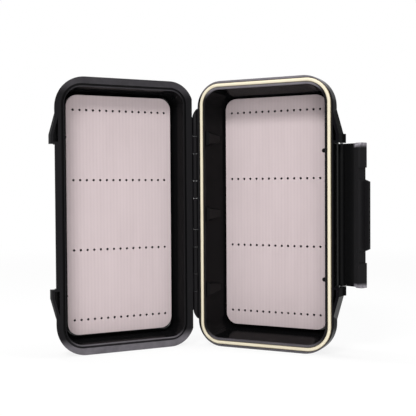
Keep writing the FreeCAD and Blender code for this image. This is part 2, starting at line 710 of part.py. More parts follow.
for notch_name, notch_side in (("upper", "1"), ("lower", "-1")):
    draw_outline(notch_sketch, notch_name, [
        (f"{HOOK_END} - <notch_deep>", f"{notch_side} * <tab_half>"),
        (f"{HOOK_END} - <notch_deep>", f"{notch_side} * (<tab_half> + <notch_long>)"),
        (notch_far, f"{notch_side} * (<tab_half> + <notch_long>)"),
        (notch_far, f"{notch_side} * (<tab_half> - {notch_slope})"),
    ])
add_feature(
    latch, "Pocket", "latch_notches", notch_sketch,
    "4 * (<latch_barrel_radius> + <pivot_out> + <hook_bite>)", both=True)
bevel_sketch = new_sketch(latch, "latch_bevel_outline", "YZ_Plane")
bevel_low = f"{hook_tip} - <hook_bevel_drop> * (1 + <overrun> / <hook_bevel_long>)"
for bevel_name, bevel_side in (("upper", "1"), ("lower", "-1")):
    draw_outline(bevel_sketch, bevel_name, [
        (f"{bevel_side} * (<latch_half> - <hook_bevel_long>)", hook_tip),
        (f"{bevel_side} * (<latch_half> - <hook_bevel_long>)", f"{hook_tip} + <overrun>"),
        (f"{bevel_side} * (<latch_half> + <overrun>)", f"{hook_tip} + <overrun>"),
        (f"{bevel_side} * (<latch_half> + <overrun>)", bevel_low),
    ])
add_feature(
    latch, "Pocket", "latch_bevels", bevel_sketch, f"2 * ({HOOK_END} + <tab_reach>)", both=True)
pin_bore(latch, "latch_pin_bore", "0", "0", "<latch_pin_radius> + <pin_clear>", "(<latch_half> + <overrun>)")

# Places: every tray piece is drawn in its tray's frame and moved with it

half_long = size("case_long") / 2
half_wide = size("case_wide") / 2
rim_y = -size("base_flange_deep") / 2
hinge_point = FreeCAD.Vector(
    -half_wide - size("hinge_reach"), rim_y - size("seam_gap") / 2, half_long)
pivot_point = FreeCAD.Vector(half_wide + size("pivot_out"), rim_y + size("pivot_deep"), half_long)
upright = FreeCAD.Rotation(FreeCAD.Vector(1, 0, 0), 90)
up = FreeCAD.Vector(0, 0, 1)

base_place = FreeCAD.Placement(FreeCAD.Vector(0, rim_y, half_long), upright)
lid_turn = FreeCAD.Rotation(up, 180 - size("lid_open_angle")).multiply(upright)
lid_centre = FreeCAD.Vector(half_wide + size("hinge_reach"), 0, size("seam_gap") / 2)
lid_place = FreeCAD.Placement(hinge_point - lid_turn.multVec(lid_centre), lid_turn)
latch_turn = FreeCAD.Rotation(up, size("latch_open_angle") - 90).multiply(upright)


def shifted(place, aside_alias, lift_alias):
    """A tray's place with a pad moved to its left and up along it."""
    step = FreeCAD.Vector(-size(aside_alias), size(lift_alias), 0)
    return place.multiply(FreeCAD.Placement(step, FreeCAD.Rotation()))


base.Placement = base_place
gasket.Placement = base_place
base_foam.Placement = shifted(base_place, "base_foam_aside", "base_foam_lift")
base_tape.Placement = shifted(base_place, "base_foam_aside", "base_foam_lift")
lid.Placement = lid_place
lid_foam.Placement = shifted(lid_place, "lid_foam_aside", "lid_foam_lift")
lid_tape.Placement = shifted(lid_place, "lid_foam_aside", "lid_foam_lift")
hinge_pin.Placement = FreeCAD.Placement(hinge_point, upright)
latch_pin.Placement = FreeCAD.Placement(pivot_point, upright)
latch.Placement = FreeCAD.Placement(pivot_point, latch_turn)
doc.recompute()

# Checks, then one file for each piece

pieces = [
    base, lid, gasket, base_foam, lid_foam, base_tape, lid_tape, hinge_pin, latch, latch_pin,
]
for item in doc.Objects:
    if "Invalid" in item.State or "Error" in item.State:
        raise RuntimeError(f"{item.Label} failed: {item.State}")
for piece in pieces:
    if piece.Shape.isNull() or not piece.Shape.isValid():
        raise RuntimeError(f"{piece.Label} is not a sound solid")
    if len(piece.Shape.Solids) != 1:
        raise RuntimeError(f"{piece.Label} is {len(piece.Shape.Solids)} solids")
    print(piece.Label, round(piece.Shape.Volume), [round(v, 1) for v in (
        piece.Shape.BoundBox.XMin, piece.Shape.BoundBox.YMin, piece.Shape.BoundBox.ZMin,
        piece.Shape.BoundBox.XMax, piece.Shape.BoundBox.YMax, piece.Shape.BoundBox.ZMax)])
    piece.Shape.exportStep(f"parts/{piece.Label}.step")
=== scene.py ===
import json
import logging
import math
from dataclasses import dataclass, field
from enum import Enum
from typing import Any

import bpy
from mathutils import Euler, Matrix, Vector

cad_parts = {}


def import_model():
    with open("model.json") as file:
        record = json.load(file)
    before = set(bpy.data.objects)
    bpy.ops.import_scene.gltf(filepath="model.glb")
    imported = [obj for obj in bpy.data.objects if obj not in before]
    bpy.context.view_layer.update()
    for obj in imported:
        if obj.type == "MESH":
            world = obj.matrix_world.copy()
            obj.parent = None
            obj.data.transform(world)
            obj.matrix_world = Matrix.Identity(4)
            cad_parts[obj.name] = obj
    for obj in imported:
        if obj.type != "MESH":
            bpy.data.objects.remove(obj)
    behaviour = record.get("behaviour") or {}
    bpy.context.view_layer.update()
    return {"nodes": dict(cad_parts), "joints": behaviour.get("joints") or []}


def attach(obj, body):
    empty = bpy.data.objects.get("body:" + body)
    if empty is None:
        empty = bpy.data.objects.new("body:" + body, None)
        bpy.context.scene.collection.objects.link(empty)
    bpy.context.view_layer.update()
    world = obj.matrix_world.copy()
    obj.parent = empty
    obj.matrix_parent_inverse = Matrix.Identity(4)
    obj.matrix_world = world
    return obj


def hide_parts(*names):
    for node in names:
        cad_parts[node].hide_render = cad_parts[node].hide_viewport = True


LOG = logging.getLogger("fly_box")
MM = 0.001
Socket = bpy.types.NodeSocket
Colour = tuple[float, float, float]
Span = tuple[float, float]
PAD_PLACE = "pad_place"


class Half(Enum):
    """The two halves of the case, by the name of the body that carries each."""

    BASE = "base"
    LID = "lid"


# Shared tools for node trees


class Tree:
    """Builds a node tree, so that each node is one call."""

    def __init__(self, tree: bpy.types.NodeTree) -> None:
        """Takes the tree that the nodes go into.

        Args:
            tree: a material's tree, a shader group or a geometry group.
        """
        self.tree = tree

    def add(self, kind: str, inputs: dict[Any, Any] | None = None, **settings: Any) -> bpy.types.Node:
        """Adds a node, sets its options and fills its inputs.

        Args:
            kind: the node's type name.
            inputs: values or sockets by input name or place.
            settings: options of the node itself.

        Returns:
            The new node.
        """
        node = self.tree.nodes.new(kind)
        for name, value in settings.items():
            setattr(node, name, value)
        self.feed(node, inputs or {})
        return node

    def feed(self, node: bpy.types.Node, inputs: dict[Any, Any]) -> None:
        """Fills a node's inputs.

        Args:
            node: the node.
            inputs: values or sockets by input name or place.
        """
        for name, value in inputs.items():
            if isinstance(value, Socket):
                self.tree.links.new(value, node.inputs[name])
            else:
                node.inputs[name].default_value = value

    def maths(self, operation: str, *values: Any, clamp: bool = False) -> Socket:
        """A number worked out from up to three others.

        Args:
            operation: the Math node's operation.
            values: numbers or sockets.
            clamp: whether the result is kept from 0 to 1.

        Returns:
            The result's socket.
        """
        node = self.add(
            "ShaderNodeMath", dict(enumerate(values)), operation=operation, use_clamp=clamp)
        return node.outputs[0]

    def vector(self, operation: str, *values: Any, out: str = "Vector") -> Socket:
        """A vector worked out from others.

        Args:
            operation: the Vector Math node's operation.
            values: vectors or sockets.
            out: the output that is wanted.

        Returns:
            The result's socket.
        """
        node = self.add("ShaderNodeVectorMath", dict(enumerate(values)), operation=operation)
        return node.outputs[out]

    def ramp(
        self, value: Socket, low: float, high: float, start: float = 0.0, end: float = 1.0
    ) -> Socket:
        """A number carried smoothly from one span to another.

        Args:
            value: the number.
            low: where the span begins.
            high: where it ends.
            start: what it becomes at low.
            end: what it becomes at high.

        Returns:
            The result's socket.
        """
        node = self.add(
            "ShaderNodeMapRange",
            {"Value": value, "From Min": low, "From Max": high, "To Min": start, "To Max": end},
            interpolation_type="SMOOTHSTEP")
        return node.outputs["Result"]

    def mix_colour(self, share: Any, first: Any, second: Any) -> Socket:
        """Two colours mixed by a share.

        Args:
            share: how much of the second colour is taken.
            first: the first colour, or its socket.
            second: the second colour, or its socket.

        Returns:
            The mixed colour's socket.
        """
        start, end = (
            value if isinstance(value, Socket) else (*value, 1.0) for value in (first, second))
        node = self.add("ShaderNodeMix", {0: share, 6: start, 7: end}, data_type="RGBA")
        return node.outputs[2]

    def noise(self, place: Socket, scale: float, detail: float = 3.0, roughness: float = 0.55) -> Socket:
        """A soft noise from 0 to 1.

        Args:
            place: where it is read.
            scale: cells to a metre.
            detail: octaves.
            roughness: strength of the finer octaves.

        Returns:
            The noise's socket.
        """
        node = self.add(
            "ShaderNodeTexNoise",
            {"Vector": place, "Scale": scale, "Detail": detail, "Roughness": roughness})
        return node.outputs["Fac"]

    def bump(
        self, height: Socket, strength: float, distance: float, edge: float = 0.0, samples: int = 6
    ) -> Socket:
        """A bumped normal, over softened edges where an edge radius is given.

        Args:
            height: the height that is read.
            strength: how strong the bump is.
            distance: how high it stands, in metres.
            edge: the radius of the softened edges, in metres.
            samples: rays that the softening takes.

        Returns:
            The normal's socket.
        """
        inputs = {"Strength": strength, "Distance": distance, "Height": height}
        if edge > 0.0:
            rounded = self.add("ShaderNodeBevel", {"Radius": edge}, samples=samples)
            inputs["Normal"] = rounded.outputs["Normal"]
        return self.add("ShaderNodeBump", inputs).outputs["Normal"]


def new_group(
    name: str, inputs: dict[str, tuple[str, Any]], outputs: dict[str, str]
) -> tuple[Tree, Any, Any]:
    """Starts a shader node group.

    Args:
        name: the group's name.
        inputs: socket type and starting value by name.
        outputs: socket type by name.

    Returns:
        The tree, its input node and its output node.
    """
    group = bpy.data.node_groups.new(name, "ShaderNodeTree")
    for label, (kind, value) in inputs.items():
        socket = group.interface.new_socket(label, in_out="INPUT", socket_type=kind)
        socket.default_value = value
    for label, kind in outputs.items():
        group.interface.new_socket(label, in_out="OUTPUT", socket_type=kind)
    return Tree(group), group.nodes.new("NodeGroupInput"), group.nodes.new("NodeGroupOutput")


@dataclass
class SharedEffects:
    """The node groups that more than one finish uses, each built once."""

    tray_place: bpy.types.NodeTree = field(init=False)
    moulded: bpy.types.NodeTree = field(init=False)
    dust: bpy.types.NodeTree = field(init=False)

    def __post_init__(self) -> None:
        """Builds the groups."""
        self.tray_place = self.build_tray_place()
        self.moulded = self.build_moulded()
        self.dust = self.build_dust()

    def build_tray_place(self) -> bpy.types.NodeTree:
        """Depth behind a tray's rim plane, and a mask that is 1 on the rim and 0 inside.

        Returns:
            The group.
        """
        tree, source, target = new_group(
            "tray_place",
            {
                "Place": ("NodeSocketVector", (0.0, 0.0, 0.0)),
                "Rim Point": ("NodeSocketVector", (0.0, 0.0, 0.0)),
                "Mouth": ("NodeSocketVector", (0.0, -1.0, 0.0)),
            },
            {"Depth": "NodeSocketFloat", "Rim": "NodeSocketFloat"},
        )
        way = tree.vector("SUBTRACT", source.outputs["Place"], source.outputs["Rim Point"])
        height = tree.vector("DOT_PRODUCT", way, source.outputs["Mouth"], out="Value")
        depth = tree.maths("MULTIPLY", height, -1.0 / MM)
        tree.feed(target, {"Depth": depth, "Rim": tree.ramp(depth, 0.15, 0.6, 1.0, 0.0)})
        return tree.tree

    def build_moulded(self) -> bpy.types.NodeTree:
        """Fine spark grain and slow flow marks of moulded plastic.

        Returns:
            The group.
        """
        tree, source, target = new_group(
            "moulded_surface",
            {
                "Place": ("NodeSocketVector", (0.0, 0.0, 0.0)),
                "Grain Size": ("NodeSocketFloat", 3200.0),
                "Flow Size": ("NodeSocketFloat", 38.0),
            },
            {"Flow": "NodeSocketFloat", "Height": "NodeSocketFloat"},
        )
        grain = tree.add(
            "ShaderNodeTexNoise",
            {"Vector": source.outputs["Place"], "Scale": source.outputs["Grain Size"], "Detail": 2.0})
        stretched = tree.vector("MULTIPLY", source.outputs["Place"], (1.0, 1.0, 0.22))
        flow = tree.add(
            "ShaderNodeTexNoise",
            {"Vector": stretched, "Scale": source.outputs["Flow Size"], "Detail": 3.0})
        height = tree.maths("MULTIPLY_ADD", grain.outputs["Fac"], 0.3, flow.outputs["Fac"])
        tree.feed(target, {"Flow": flow.outputs["Fac"], "Height": height})
        return tree.tree

    def build_dust(self) -> bpy.types.NodeTree:
        """Sparse specks of dust and lint, as a mask.

        Returns:
            The group.
        """
        tree, source, target = new_group(
            "dust_specks",
            {
                "Place": ("NodeSocketVector", (0.0, 0.0, 0.0)),
                "Speck Size": ("NodeSocketFloat", 700.0),
                "Amount": ("NodeSocketFloat", 0.08),
            },
            {"Dust": "NodeSocketFloat"},
        )
        cells = tree.add(
            "ShaderNodeTexVoronoi",
            {"Vector": source.outputs["Place"], "Scale": source.outputs["Speck Size"]})
        chosen = tree.maths("GREATER_THAN", cells.outputs["Color"], 0.93)
        spot = tree.ramp(cells.outputs["Distance"], 0.08, 0.22, 1.0, 0.0)
        speck = tree.maths("MULTIPLY", spot, chosen)
        amount = tree.maths("MULTIPLY", speck, source.outputs["Amount"], clamp=True)
        tree.feed(target, {"Dust": amount})
        return tree.tree


def new_material(name: str, colour: Colour) -> tuple[bpy.types.Material, Tree, Any]:
    """Starts a material with one Principled shader.

    Args:
        name: the material's name.
        colour: its colour in solid view.

    Returns:
        The material, its tree and its shader node.
    """
    material = bpy.data.materials.new(name)
    material.use_nodes = True
    material.diffuse_color = (*colour, 1.0)
    tree = Tree(material.node_tree)
    shader = material.node_tree.nodes["Principled BSDF"]
    shader.inputs["Base Color"].default_value = (*colour, 1.0)
    return material, tree, shader


def object_place(tree: Tree) -> Socket:
    """Where a point is in the row frame, in metres.

    Args:
        tree: the material's tree.

    Returns:
        The coordinate's socket.
    """
    return tree.add("ShaderNodeTexCoord").outputs["Object"]


# Finishes


@dataclass(frozen=True)
class ShellFinish:
    """Black moulded plastic: satin rim, dull walls, polished roundings at the floor and a painted
    highlight on the rim's two short ends.

    Each span says where a change begins and where it ends. low_end, high_end and foot are heights
    and latch_side is a width in the row frame. highlight_depth is behind the rim, foot_depth and
    rounding_depth are behind the floor's face, all three in millimetres. under is the normal's
    upward part on the outer faces that look down.
    """

    # How strong the painted highlight is at the bottom and at the top end of the rim.
    low_end_highlight: float
    high_end_highlight: float
    floor_depth: float
    wall: Colour = (0.0030, 0.0031, 0.0032)
    rim: Colour = (0.0048, 0.0044, 0.0054)
    worn: Colour = (0.011, 0.0105, 0.012)
    # Painted highlight colour for the rim's two short ends.
    paler_tone: Colour = (0.24, 0.225, 0.25)
    lint: Colour = (0.35, 0.34, 0.35)
    wall_roughness: float = 0.13
    rim_roughness: float = 0.36
    specular: float = 0.005
    wall_gloss: float = 0.11
    rim_gloss: float = 0.21
    gloss_roughness: float = 0.12
    edge: float = 0.35 * MM
    low_end: Span = (5.0 * MM, 13.0 * MM)
    high_end: Span = (182.0 * MM, 190.0 * MM)
    foot: Span = (12.0 * MM, 22.0 * MM)
    latch_side: Span = (51.2 * MM, 51.9 * MM)
    # The depth span below keeps the painted highlight on the rim face.
    highlight_depth: Span = (0.2, 1.6)
    foot_depth: Span = (-6.0, -3.5)
    rounding_depth: Span = (-2.4, -1.6)
    under: Span = (-0.45, -0.12)

    def build(
        self, name: str, effects: SharedEffects, rim_point: Vector, mouth: Vector
    ) -> bpy.types.Material:
        """Makes the finish for one tray.

        Args:
            name: the material's name.
            effects: the shared node groups.
            rim_point: a point on the tray's rim plane.
            mouth: the way out of its mouth.

        Returns:
            The material.
        """
        material, tree, shader = new_material(name, self.wall)
        place = object_place(tree)
        where = tree.add(
            "ShaderNodeGroup",
            {"Place": place, "Rim Point": rim_point, "Mouth": mouth},
            node_tree=effects.tray_place)
        surface = tree.add("ShaderNodeGroup", {"Place": place}, node_tree=effects.moulded)
        dust = tree.add("ShaderNodeGroup", {"Place": place}, node_tree=effects.dust)
        rim = where.outputs["Rim"]
        depth = where.outputs["Depth"]
        flow = surface.outputs["Flow"]
        colour = tree.mix_colour(rim, self.wall, self.rim)
        colour = tree.mix_colour(tree.maths("MULTIPLY", flow, 0.3), colour, self.worn)
        # Painted highlight: the rim's two short ends are made paler.
        colour = tree.mix_colour(self.rim_end_painted_highlight(tree, place, depth), colour, self.paler_tone)
        rough = tree.ramp(rim, 0.0, 1.0, self.wall_roughness, self.rim_roughness)
        tree.feed(shader, {
            "Base Color": tree.mix_colour(dust.outputs["Dust"], colour, self.lint),
            "Roughness": tree.maths("MULTIPLY_ADD", flow, 0.08, rough),
            "Specular IOR Level": self.specular,
            "Coat Weight": self.gloss(tree, place, rim, depth),
            "Coat Roughness": self.gloss_roughness,
            "Normal": tree.bump(surface.outputs["Height"], 0.08, 0.08 * MM, self.edge),
        })
        return material

    def gloss(self, tree: Tree, place: Socket, rim: Socket, depth: Socket) -> Socket:
        """How glossy the plastic is at each place.

        Args:
            tree: the material's tree.
            place: where a point is in the row frame.
            rim: 1 on the rim.
            depth: how far it lies behind the rim plane, in millimetres.

        Returns:
            The gloss.
        """
        parts = tree.add("ShaderNodeSeparateXYZ", {"Vector": place})
        normal = tree.add(
            "ShaderNodeSeparateXYZ", {"Vector": tree.add("ShaderNodeNewGeometry").outputs["Normal"]})
        plain = tree.ramp(rim, 0.0, 1.0, self.wall_gloss, self.rim_gloss)
        behind = tree.maths("SUBTRACT", depth, self.floor_depth)
        deep = tree.ramp(behind, *self.foot_depth)
        foot = tree.maths("MULTIPLY", deep, tree.ramp(parts.outputs["Z"], *self.foot, 1.0, 0.0))
        rounding = tree.ramp(behind, *self.rounding_depth)
        inside = tree.maths("MAXIMUM", tree.maths("MAXIMUM", foot, rounding), plain)
        latch_side = tree.ramp(parts.outputs["X"], *self.latch_side)
        under = tree.ramp(normal.outputs["Z"], *self.under, 1.0, 0.0)
        outside = tree.maths("MULTIPLY", latch_side, under)
        inside = tree.maths("MULTIPLY", inside, tree.maths("SUBTRACT", 1.0, latch_side))
        return tree.maths("MAXIMUM", inside, outside, clamp=True)

    def rim_end_painted_highlight(self, tree: Tree, place: Socket, depth: Socket) -> Socket:
        """Rubbed plastic at the rim's two short ends, where the case stands and is slid about.

        Args:
            tree: the material's tree.
            place: where a point is in the row frame.
            depth: how far it lies behind the rim plane, in millimetres.

        Returns:
            The share of the painted highlight colour.
        """
        height = tree.add("ShaderNodeSeparateXYZ", {"Vector": place}).outputs["Z"]
        low = tree.ramp(height, *self.low_end, self.low_end_highlight, 0.0)
        high = tree.ramp(height, *self.high_end, 0.0, self.high_end_highlight)
        ends = tree.maths("MAXIMUM", low, high)
        front = tree.ramp(depth, *self.highlight_depth, 1.0, 0.0)
        patchy = tree.maths("MULTIPLY_ADD", tree.noise(place, 95.0, 5.0, 0.65), 0.7, 0.3)
        return tree.maths("MULTIPLY", tree.maths("MULTIPLY", ends, front), patchy, clamp=True)


SHELL_FINISHES = {
    Half.BASE: ShellFinish(low_end_highlight=0.55, high_end_highlight=1.0, floor_depth=30.8),
    Half.LID: ShellFinish(low_end_highlight=0.85, high_end_highlight=0.22, floor_depth=18.1),
}


@dataclass(frozen=True)
class SealFinish:
    """Cream silicone rubber with a soft sheen and painted shade on the crown's flanks."""

    colour: Colour = (0.80, 0.74, 0.58)
    cloudy: Colour = (0.72, 0.65, 0.48)
    # Painted shade colour for the crown's flanks.
    painted_flank_shade: Colour = (0.30, 0.235, 0.14)
    lint: Colour = (0.30, 0.27, 0.22)
    lint_amount: float = 0.25
    roughness: float = 0.5
    specular: float = 0.35

    def build(self, effects: SharedEffects) -> bpy.types.Material:
        """Makes the finish.

        Args:
            effects: the shared node groups.

        Returns:
            The material.
        """
        material, tree, shader = new_material("cream_seal", self.colour)
        place = object_place(tree)
        clouds = tree.noise(place, 60.0, 4.0)
        normal = tree.add("ShaderNodeNewGeometry").outputs["Normal"]
        facing = tree.vector("DOT_PRODUCT", normal, (0.0, -1.0, 0.0), out="Value")
        dust = tree.add(
            "ShaderNodeGroup", {"Place": place, "Amount": self.lint_amount}, node_tree=effects.dust)
        colour = tree.mix_colour(clouds, self.colour, self.cloudy)
        # Painted shade: where the crown turns away from the mouth it is darkened towards tan.
        colour = tree.mix_colour(tree.ramp(facing, 0.45, 0.92, 1.0, 0.0), colour, self.painted_flank_shade)
        tree.feed(shader, {
            "Base Color": tree.mix_colour(dust.outputs["Dust"], colour, self.lint),
            "Roughness": tree.maths("MULTIPLY_ADD", clouds, 0.12, self.roughness),
            "Specular IOR Level": self.specular,
            "Normal": tree.bump(tree.noise(place, 2600.0, 2.0), 0.15, 0.08 * MM),
        })
        return material


@dataclass(frozen=True)
class FoamFinish:
    """Closed-cell foam in a dusty pink grey, with soft bands between its slits and painted shade along
    the slits, the bores and the flanks.
    """

    colour: Colour = (0.62, 0.525, 0.535)
    # Darker tone for random variation, and the painted shade along the slits.
    shade: Colour = (0.52, 0.435, 0.445)
    # Painted shade colour for the bores, slits and flanks.
    painted_bore_shade: Colour = (0.02, 0.016, 0.016)
    slit_pitch: float = 2.5 * MM
    specular: float = 0.2
    sheen: float = 0.15
    sheen_roughness: float = 0.6
    edge: float = 0.4 * MM

    def build(self, name: str) -> bpy.types.Material:
        """Makes the finish, which reads the pad's own across and along attribute.

        Args:
            name: the material's name.

        Returns:
            The material.
        """
        material, tree, shader = new_material(name, self.colour)
        place = tree.add("ShaderNodeAttribute", attribute_name=PAD_PLACE).outputs["Vector"]
        parts = tree.add("ShaderNodeSeparateXYZ", {"Vector": place})
        turn = tree.maths("MULTIPLY", parts.outputs["X"], 2.0 * math.pi / self.slit_pitch)
        wave = tree.maths("MULTIPLY_ADD", tree.maths("COSINE", turn), 0.5, 0.5)
        # The tone adds streaks along the pad, clouds and single cells, and painted shade in bands along
        # the slits
        slow = tree.noise(tree.vector("MULTIPLY", place, (1.0, 0.08, 1.0)), 170.0, 3.0)
        clouds = tree.noise(place, 28.0, 3.0)
        cells = tree.noise(place, 3400.0, 2.0, 0.7)
        streak = tree.maths("MULTIPLY_ADD", slow, 0.5, tree.maths("MULTIPLY", wave, 0.16))
        tone = tree.maths("MULTIPLY_ADD", clouds, 0.25, streak)
        tone = tree.maths("MULTIPLY_ADD", cells, 0.2, tone)
        share = tree.ramp(tone, 0.25, 0.95, 0.0, 0.75)
        colour = tree.mix_colour(share, self.colour, self.shade)
        # Below the pad's face lie only the bores, the slits and the flanks, painted near black as shade
        sunk_shade_share = tree.ramp(parts.outputs["Z"], -0.9 * MM, -0.05 * MM, 0.96, 0.0)
        height = tree.maths("MULTIPLY_ADD", cells, 0.5, tree.maths("MULTIPLY", wave, -0.35))
        tree.feed(shader, {
            "Base Color": tree.mix_colour(sunk_shade_share, colour, self.painted_bore_shade),
            "Roughness": tree.maths("MULTIPLY_ADD", cells, 0.1, 0.86),
            "Specular IOR Level": self.specular,
            "Sheen Weight": self.sheen,
            "Sheen Roughness": self.sheen_roughness,
            "Normal": tree.bump(height, 0.3, 0.1 * MM, self.edge, samples=4),
        })
        return material


@dataclass(frozen=True)
class LatchFinish:
    """Near-black moulded plastic with a finer satin grain, lighter towards the tip, and a painted
    highlight on the hook ends.

    The spans are places in the row frame, from where a change begins to where it ends.
    """

    colour: Colour = (0.0028, 0.0030, 0.0030)
    # Paler tone towards the tip and in the flow marks.
    paler_tone: Colour = (0.018, 0.017, 0.019)
    # Painted highlight colour for the hook ends.
    hook_highlight: Colour = (0.52, 0.49, 0.54)
    lint: Colour = (0.30, 0.30, 0.31)
    roughness: float = 0.34
    specular: float = 0.005
    gloss: float = 0.10
    gloss_roughness: float = 0.25
    grain_size: float = 4200.0
    edge: float = 0.3 * MM
    middle: float = 97.5 * MM
    tip: Span = (60.0 * MM, 72.0 * MM)
    hook_end: Span = (45.6 * MM, 48.6 * MM)
    hook_reach: Span = (64.0 * MM, 66.0 * MM)

    def build(self, effects: SharedEffects) -> bpy.types.Material:
        """Makes the finish.

        Args:
            effects: the shared node groups.

        Returns:
            The material.
        """
        material, tree, shader = new_material("latch_black", self.colour)
        place = object_place(tree)
        surface = tree.add(
            "ShaderNodeGroup", {"Place": place, "Grain Size": self.grain_size},
            node_tree=effects.moulded)
        dust = tree.add("ShaderNodeGroup", {"Place": place}, node_tree=effects.dust)
        parts = tree.add("ShaderNodeSeparateXYZ", {"Vector": place})
        flow = surface.outputs["Flow"]
        # The colour grows lighter towards the tip.
        tip = tree.ramp(parts.outputs["X"], *self.tip, 0.0, 0.4)
        colour = tree.mix_colour(tip, self.colour, self.paler_tone)
        colour = tree.mix_colour(tree.maths("MULTIPLY", flow, 0.2), colour, self.paler_tone)
        # Painted highlight in patches on the two hook ends.
        colour = tree.mix_colour(self.painted_hook_highlight(tree, place, parts), colour, self.hook_highlight)
        tree.feed(shader, {
            "Base Color": tree.mix_colour(dust.outputs["Dust"], colour, self.lint),
            "Roughness": tree.maths("MULTIPLY_ADD", flow, 0.1, self.roughness),
            "Specular IOR Level": self.specular,
            "Coat Weight": self.gloss,
            "Coat Roughness": self.gloss_roughness,
            "Normal": tree.bump(surface.outputs["Height"], 0.12, 0.1 * MM, self.edge),
        })
        return material

    def painted_hook_highlight(self, tree: Tree, place: Socket, parts: bpy.types.Node) -> Socket:
        """Painted highlight in patches on the outer faces of the two hooked ends.

        Args:
            tree: the material's tree.
            place: where a point is in the row frame.
            parts: the same place, split into its three numbers.

        Returns:
            The share of the painted highlight colour.
        """
        away = tree.maths("ABSOLUTE", tree.maths("SUBTRACT", parts.outputs["Z"], self.middle))
        ends = tree.ramp(away, *self.hook_end, 0.0, 0.9)
        ends = tree.maths("MULTIPLY", ends, tree.ramp(parts.outputs["X"], *self.hook_reach))
        patches = tree.maths("MULTIPLY_ADD", tree.noise(place, 420.0, 4.0, 0.6), 1.2, -0.1)
        return tree.maths("MULTIPLY", ends, patches, clamp=True)


@dataclass(frozen=True)
class PinFinish:
    """Drawn steel rod with fine lines along it."""

    colour: Colour = (0.52, 0.52, 0.53)
    line: Colour = (0.33, 0.33, 0.34)

    def build(self) -> bpy.types.Material:
        """Makes the finish.

        Returns:
            The material.
        """
        material, tree, shader = new_material("drawn_steel", self.colour)
        place = object_place(tree)
        lines = tree.noise(tree.vector("MULTIPLY", place, (1.0, 1.0, 0.02)), 5200.0, 2.0)
        tree.feed(shader, {
            "Base Color": tree.mix_colour(lines, self.colour, self.line),
            "Metallic": 1.0,
            "Roughness": tree.maths("MULTIPLY_ADD", lines, 0.2, 0.25),
            "Normal": tree.bump(lines, 0.2, 0.02 * MM),
        })
        return material


@dataclass(frozen=True)
class AdhesiveFinish:
    """Thin black double-sided sheet, a little glossy."""

    colour: Colour = (0.016, 0.016, 0.017)
    cloudy: Colour = (0.030, 0.030, 0.031)

    def build(self) -> bpy.types.Material:
        """Makes the finish.

        Returns:
            The material.
        """
        material, tree, shader = new_material("adhesive_sheet", self.colour)
        place = object_place(tree)
        clouds = tree.noise(place, 160.0, 4.0)
        tree.feed(shader, {
            "Base Color": tree.mix_colour(clouds, self.colour, self.cloudy),
            "Roughness": tree.maths("MULTIPLY_ADD", clouds, 0.25, 0.3),
        })
        return material


# Where each tray stands


@dataclass(frozen=True)
class TrayPlace:
    """One tray's own frame: across to its +x, along the hinge, and out of its mouth."""

    rim_point: Vector
    across: Vector
    mouth: Vector

    def matrix(self) -> Matrix:
        """The way from tray coordinates to the row frame.

        Returns:
            A rigid matrix.
        """
        along = Vector((0.0, 0.0, 1.0))
        turn = Matrix((self.across, along, self.mouth)).transposed()
        return Matrix.Translation(self.rim_point) @ turn.to_4x4()


@dataclass(frozen=True)
class CaseLayout:
    """The places of both trays, worked out from the record's hinge."""

    hinge: Vector
    lid_turn: float
    case_half: float = 52.0 * MM
    hinge_reach: float = 2.15 * MM
    seam_gap: float = 0.8 * MM

    @classmethod
    def from_record(cls, joints: list[dict[str, Any]]) -> "CaseLayout":
        """Reads the hinge's place and how far open the lid stands.

        Args:
            joints: the record's joints.

        Returns:
            The layout.
        """
        joint = next(item for item in joints if item["name"] == "lid_hinge")
        return cls(Vector(joint["pos_m"]), math.radians(180.0 + joint["range_deg"][0]))

    def place(self, half: Half) -> TrayPlace:
        """Where one tray stands.

        Args:
            half: the base or the lid.

        Returns:
            The tray's place.
        """
        if half is Half.BASE:
            point = Vector((0.0, self.hinge.y + self.seam_gap / 2, self.hinge.z))
            return TrayPlace(point, Vector((1.0, 0.0, 0.0)), Vector((0.0, -1.0, 0.0)))
        turn = Matrix.Rotation(self.lid_turn, 3, "Z")
        across = turn @ Vector((1.0, 0.0, 0.0))
        mouth = turn @ Vector((0.0, -1.0, 0.0))
        point = self.hinge - across * (self.case_half + self.hinge_reach) - mouth * (self.seam_gap / 2)
        return TrayPlace(point, across, mouth)


# The foam pads


